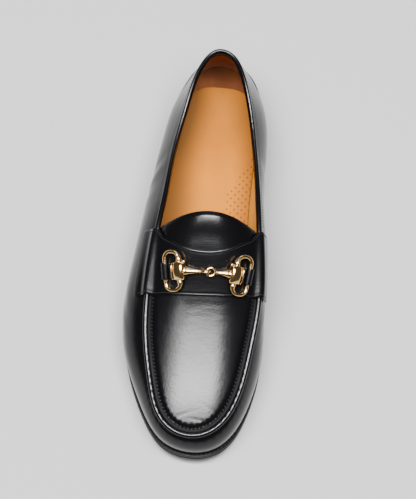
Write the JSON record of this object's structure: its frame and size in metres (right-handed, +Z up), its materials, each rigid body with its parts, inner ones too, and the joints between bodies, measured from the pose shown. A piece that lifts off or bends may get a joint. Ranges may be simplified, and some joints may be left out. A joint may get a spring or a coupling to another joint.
{
  "type": "bit loafer",
  "caption": "Slip-on leather shoe with a raised hand-sewn seam round the apron, a strap over the instep carrying a linked metal bit, and a low stacked heel.",
  "frame": {"origin": "on the floor, under the middle of the shoe's outline", "axes": "+Z up, -Y towards the toe, +Y towards the heel, +X towards the inner (medial) side of this right shoe"},
  "size_m": [0.103, 0.3034, 0.0899],
  "materials": {
    "black_leather": "polished smooth black leather",
    "black_edge": "inked and waxed leather edge",
    "sole_leather": "natural leather sole",
    "heel_rubber": "matt black rubber",
    "brown_lining": "brown suede-like lining",
    "tan_lining": "tan leather lining",
    "gold_metal": "polished pale gold plating"
  },
  "bodies": {
    "root": {"upper": "black_leather", "saddle_strap": "black_leather", "outsole": "sole_leather", "welt": "black_edge", "heel_lift_1": "black_edge", "heel_lift_2": "black_edge", "heel_lift_3": "black_edge", "heel_top_piece": "heel_rubber", "insole": "brown_lining", "sock_lining": "tan_lining", "bit_bar_outer": "gold_metal", "bit_bar_inner": "gold_metal", "bit_ring_outer": "gold_metal", "bit_ring_inner": "gold_metal", "bit_loop_outer": "black_leather", "bit_loop_inner": "black_leather"}
  },
  "joints": []
}
